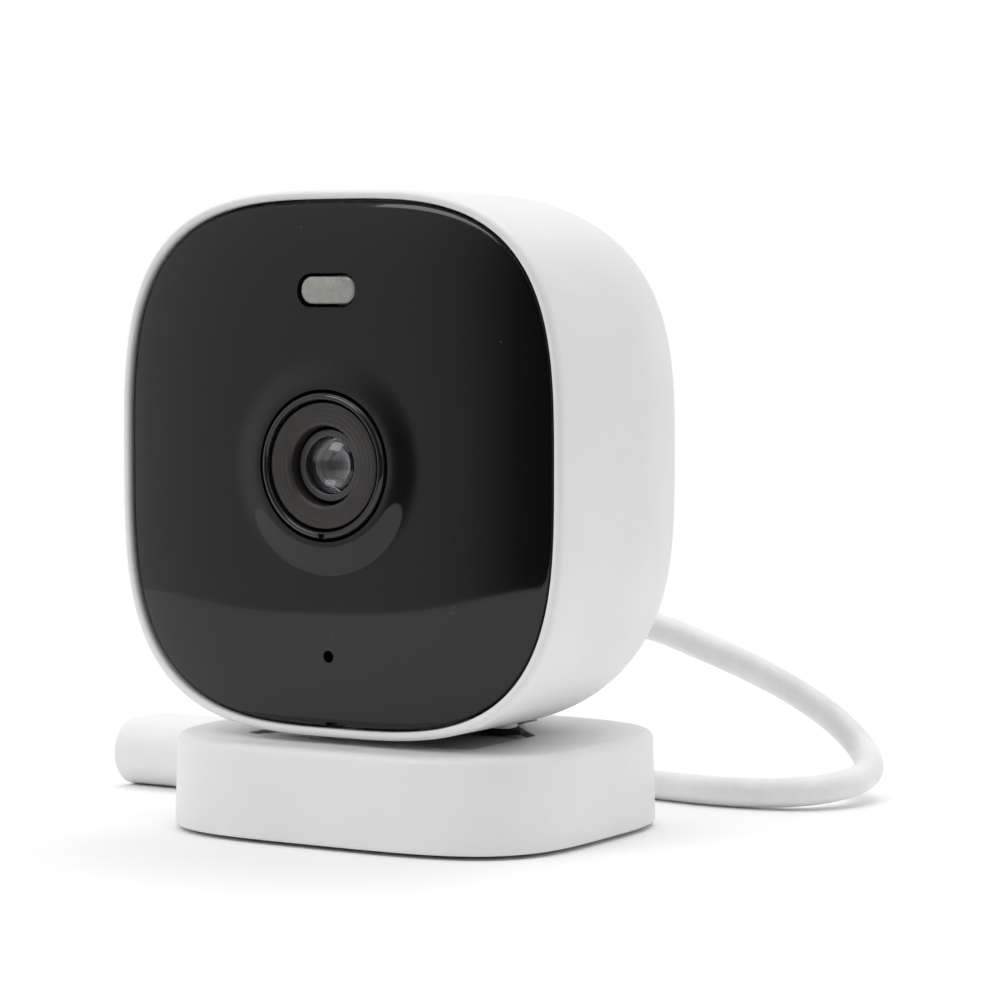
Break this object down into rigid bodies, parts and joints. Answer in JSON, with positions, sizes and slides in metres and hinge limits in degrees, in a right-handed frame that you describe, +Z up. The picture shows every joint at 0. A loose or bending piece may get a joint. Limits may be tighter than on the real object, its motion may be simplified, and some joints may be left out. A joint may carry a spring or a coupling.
{
  "type": "indoor security camera",
  "caption": "Rounded cube camera with a glossy front panel and round lens, on a low stand with a folding arm and a tilting head, with a captive cord.",
  "frame": {"origin": "centre of the foot pad's underside, on the floor", "axes": "+Z up, the lens looks along -Y and +X is to the right when facing the lens panel; the hinges run along X"},
  "size_m": [0.0749, 0.062, 0.0621],
  "materials": {
    "shell_white": "fine satin moulded plastic",
    "panel_black": "polished black, lets infrared light through",
    "frosted_window": "frosted light pipe",
    "lens_black": "fine matt black",
    "ring_black": "polished black",
    "lens_glass": "coated glass",
    "stand_grey": "matt moulded plastic",
    "plate_grey": "matt moulded plastic",
    "steel": "plain bright steel",
    "foot_rubber": "soft dark rubber",
    "cord_white": "soft white cord jacket",
    "cover_rubber": "soft light rubber",
    "board_green": "solder mask over glass-fibre board",
    "chip_black": "moulded chip package",
    "led_yellow": "phosphor in clear resin",
    "led_dark": "dark clear resin",
    "antenna_copper": "thin copper on film",
    "frame_black": "matt moulded plastic",
    "button_light": "matt moulded plastic"
  },
  "bodies": {
    "base": {"base_shell": "shell_white", "base_bottom_plate": "plate_grey", "base_ballast": "steel", "foot_pad": "foot_rubber", "base_screw_1": "steel", "base_screw_2": "steel", "base_screw_3": "steel", "base_screw_4": "steel", "fold_pin": "steel", "cord": "cord_white", "connector_shell": "shell_white", "connector_port": "steel", "connector_tongue": "chip_black"},
    "arm": {"stand_arm": "stand_grey"},
    "hinge_core": {"tilt_pin": "steel", "tilt_stop": "steel"},
    "head": {"neck": "frame_black", "neck_screw_1": "steel", "neck_screw_2": "steel", "head_shell": "shell_white", "front_panel": "panel_black", "light_window": "frosted_window", "light_board": "board_green", "light_led": "led_yellow", "lens_ring": "ring_black", "lens_bezel": "lens_black", "lens_barrel": "lens_black", "lens_glass": "lens_glass", "lens_inner_element": "lens_glass", "inner_frame": "frame_black", "image_sensor": "chip_black", "sensor_board": "board_green", "main_board": "board_green", "heat_spreader": "steel", "processor": "chip_black", "antenna": "antenna_copper", "card_socket": "steel", "board_screw_1": "steel", "board_screw_2": "steel", "board_screw_3": "steel", "board_screw_4": "steel", "infrared_led_1": "led_dark", "infrared_led_2": "led_dark", "infrared_led_3": "led_dark", "infrared_led_4": "led_dark", "microphone": "steel", "speaker": "frame_black", "button_switch": "frame_black", "card_cover": "cover_rubber", "strain_relief": "cord_white"},
    "button": {"setup_button": "button_light"}
  },
  "joints": [
    {"name": "stand_fold", "type": "hinge", "parent": "base", "child": "arm", "pos_m": [0, -0.0119, 0.00725], "axis": [1, 0, 0], "range_deg": [0, 45], "deforming": ["cord"]},
    {"name": "tilt_pin_level", "type": "hinge", "parent": "arm", "child": "hinge_core", "pos_m": [0, 0.0055, 0.00725], "axis": [1, 0, 0], "range_deg": [-45, 0]},
    {"name": "head_tilt", "type": "hinge", "parent": "hinge_core", "child": "head", "pos_m": [0, 0.0055, 0.00725], "axis": [-1, 0, 0], "range_deg": [0, 30], "deforming": ["cord"]},
    {"name": "setup_button_press", "type": "slide", "parent": "head", "child": "button", "axis": [0, 0, 1], "range_m": [0, 0.0005], "stiffness_N_per_m": 3000, "springref_m": -0.0003}
  ],
  "couplings": [
    {"joint": "tilt_pin_level", "follows": "stand_fold", "ratio": -1}
  ]
}
